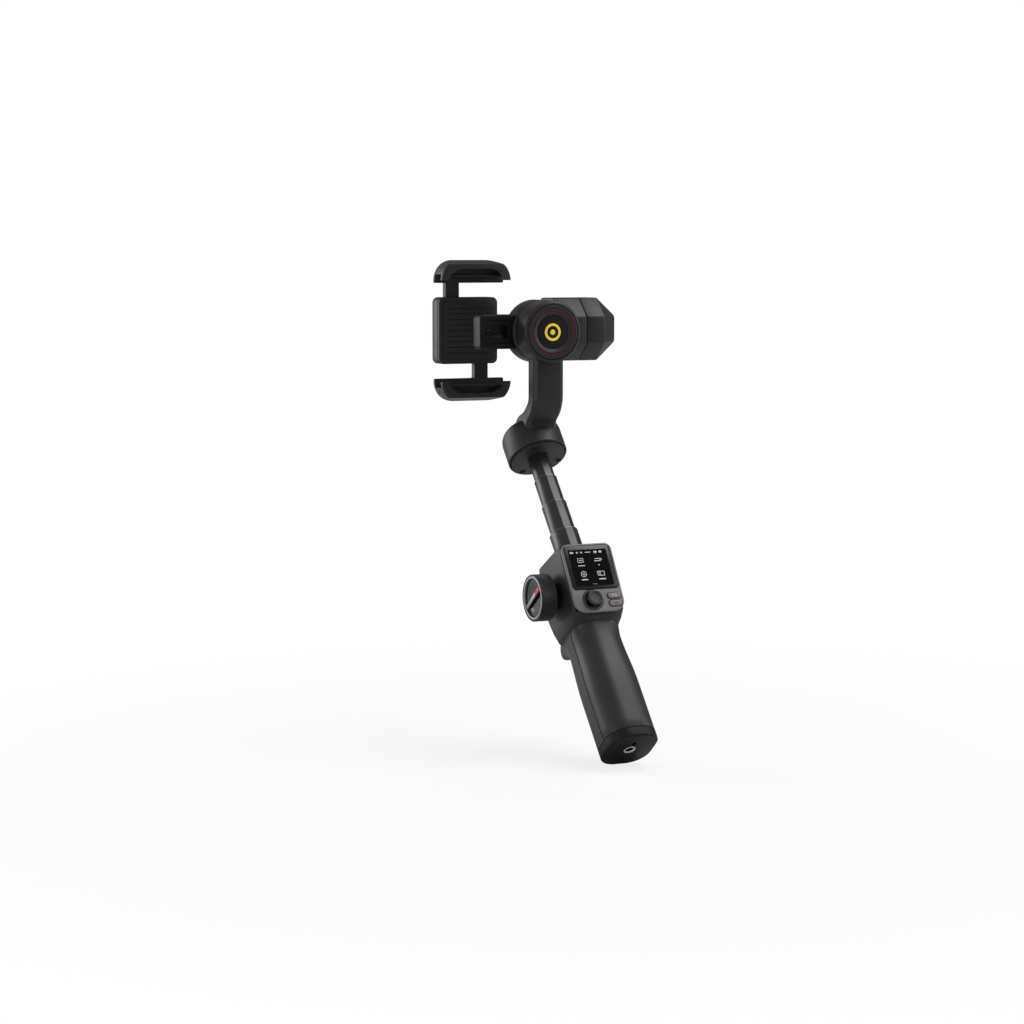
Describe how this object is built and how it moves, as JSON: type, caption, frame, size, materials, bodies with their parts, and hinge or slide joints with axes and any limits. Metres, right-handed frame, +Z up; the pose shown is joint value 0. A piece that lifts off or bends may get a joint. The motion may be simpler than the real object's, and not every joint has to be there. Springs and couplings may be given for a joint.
{
  "type": "handheld phone gimbal",
  "caption": "Handheld phone stabiliser with a grip, control head, telescopic rod, pan, roll and tilt motors and a rack-and-pinion phone clamp.",
  "frame": {"origin": "centre of the tripod socket in the end face of the handle", "axes": "+Z up with the clamp level, +X to the right of the control panel, +Y away from the person who reads the panel; the handle and rod lean 40 degrees towards +Y"},
  "size_m": [0.1428, 0.2233, 0.341],
  "materials": {
    "charcoal_plastic": "matte charcoal moulding with a fine spark-eroded grain",
    "grip_plastic": "soft satin charcoal grip",
    "black_plastic": "matte black",
    "panel_plastic": "satin mid grey",
    "display_glass": "black glossy glass",
    "rod_metal": "satin black anodised tube",
    "pad_rubber": "matte soft pad",
    "steel": "turned steel",
    "silver_trim": "satin silver trim",
    "accent_red": "dark red accent",
    "circuit_board": "green board",
    "copper_winding": "wound copper",
    "magnet": "nickel plated magnets",
    "battery_can": "sleeved cell",
    "brass": "cut brass"
  },
  "bodies": {
    "handle": {"handle_shell": "charcoal_plastic", "grip_front_cover": "grip_plastic", "end_cap": "black_plastic", "tripod_insert": "steel", "battery_cell": "battery_can", "main_board": "circuit_board", "charge_port": "steel", "control_panel": "panel_plastic", "display_glass": "display_glass", "joystick_bezel": "black_plastic", "joystick_base": "black_plastic", "rod_outer_tube": "rod_metal", "wheel_axle": "black_plastic", "trigger_pin": "steel"},
    "mode_button": {"mode_button": "panel_plastic"},
    "record_button": {"record_button": "panel_plastic"},
    "joystick_yoke": {"joystick_yoke": "steel"},
    "joystick_stick": {"joystick_stick": "charcoal_plastic"},
    "trigger": {"trigger": "charcoal_plastic"},
    "focus_wheel": {"focus_wheel": "charcoal_plastic", "wheel_trim_ring": "silver_trim", "wheel_dish": "display_glass", "wheel_pointer": "silver_trim"},
    "rod_lower": {"rod_lower_tube": "rod_metal"},
    "rod_middle": {"rod_middle_tube": "rod_metal"},
    "rod_upper": {"rod_upper_tube": "rod_metal", "pan_base_disc": "charcoal_plastic", "pan_stator": "copper_winding", "pan_bearing": "steel"},
    "swing_arm": {"swing_arm": "charcoal_plastic", "arm_rear_cover": "black_plastic", "pan_shaft": "steel", "pan_magnet_ring": "magnet", "roll_cap": "charcoal_plastic", "cap_accent_ring": "accent_red", "cap_centre_disc": "black_plastic", "roll_stator": "copper_winding", "roll_bearing": "steel"},
    "roll_tilt_arm": {"roll_tilt_arm": "charcoal_plastic", "drum_rear_cover": "black_plastic", "roll_shaft": "steel", "roll_magnet_ring": "magnet", "tilt_end_cap": "charcoal_plastic", "tilt_stator": "copper_winding", "tilt_bearing": "steel", "sensor_module": "charcoal_plastic", "module_lens": "display_glass", "module_window": "display_glass"},
    "clamp": {"clamp_arm": "charcoal_plastic", "clamp_base": "charcoal_plastic", "clamp_front_plate": "charcoal_plastic", "clamp_front_pad": "pad_rubber", "clamp_spring": "steel", "tilt_rotor": "steel", "tilt_magnet_ring": "magnet"},
    "clamp_pinion": {"clamp_pinion": "brass"},
    "upper_jaw": {"upper_jaw": "charcoal_plastic", "upper_pad": "pad_rubber"},
    "lower_jaw": {"lower_jaw": "charcoal_plastic", "lower_pad": "pad_rubber"}
  },
  "joints": [
    {"name": "mode_press", "type": "slide", "parent": "handle", "child": "mode_button", "axis": [0, 0.8563, -0.5165], "range_m": [0, 0.0008], "stiffness_N_per_m": 400},
    {"name": "record_press", "type": "slide", "parent": "handle", "child": "record_button", "axis": [0, 0.8563, -0.5165], "range_m": [0, 0.0008], "stiffness_N_per_m": 400},
    {"name": "stick_pitch", "type": "hinge", "parent": "handle", "child": "joystick_yoke", "pos_m": [-0.0046, 0.05117, 0.09435], "axis": [1, 0, 0], "range_deg": [-14, 14], "stiffness_Nm_per_rad": 0.02},
    {"name": "stick_yaw", "type": "hinge", "parent": "joystick_yoke", "child": "joystick_stick", "pos_m": [-0.0046, 0.05117, 0.09435], "axis": [0, 0.5165, 0.8563], "range_deg": [-14, 14], "stiffness_Nm_per_rad": 0.02},
    {"name": "trigger_pull", "type": "hinge", "parent": "handle", "child": "trigger", "pos_m": [0, 0.07306, 0.06467], "axis": [-1, 0, 0], "range_deg": [0, 9], "stiffness_Nm_per_rad": 0.1},
    {"name": "focus_turn", "type": "hinge", "parent": "handle", "child": "focus_wheel", "pos_m": [-0.0195, 0.07676, 0.09615], "axis": [-1, 0, 0], "continuous": true},
    {"name": "rod_lower_slide", "type": "slide", "parent": "handle", "child": "rod_lower", "axis": [0, 0.6428, 0.766], "range_m": [-0.0225, 0]},
    {"name": "rod_middle_slide", "type": "slide", "parent": "rod_lower", "child": "rod_middle", "axis": [0, 0.6428, 0.766], "range_m": [-0.02, 0]},
    {"name": "rod_upper_slide", "type": "slide", "parent": "rod_middle", "child": "rod_upper", "axis": [0, 0.6428, 0.766], "range_m": [-0.018, 0]},
    {"name": "pan_turn", "type": "hinge", "parent": "rod_upper", "child": "swing_arm", "pos_m": [0, 0.14592, 0.1879], "axis": [0, 0.6428, 0.766], "range_deg": [-160, 160]},
    {"name": "roll_turn", "type": "hinge", "parent": "swing_arm", "child": "roll_tilt_arm", "pos_m": [0, 0.12002, 0.2785], "axis": [0, 1, 0], "range_deg": [-30, 90]},
    {"name": "tilt_turn", "type": "hinge", "parent": "roll_tilt_arm", "child": "clamp", "pos_m": [0, 0.18602, 0.2785], "axis": [1, 0, 0], "range_deg": [-25, 25]},
    {"name": "upper_jaw_slide", "type": "slide", "parent": "clamp", "child": "upper_jaw", "axis": [0, 0, 1], "range_m": [-0.0095, 0.0055]},
    {"name": "lower_jaw_slide", "type": "slide", "parent": "clamp", "child": "lower_jaw", "axis": [0, 0, -1], "range_m": [-0.0095, 0.0055]},
    {"name": "pinion_turn", "type": "hinge", "parent": "clamp", "child": "clamp_pinion", "pos_m": [-0.039, 0.185, 0.2785], "axis": [0, 1, 0], "range_deg": [-109.5, 63.5]}
  ],
  "couplings": [
    {"joint": "lower_jaw_slide", "follows": "upper_jaw_slide", "ratio": 1},
    {"joint": "pinion_turn", "follows": "upper_jaw_slide", "rad_per_m": 200}
  ]
}
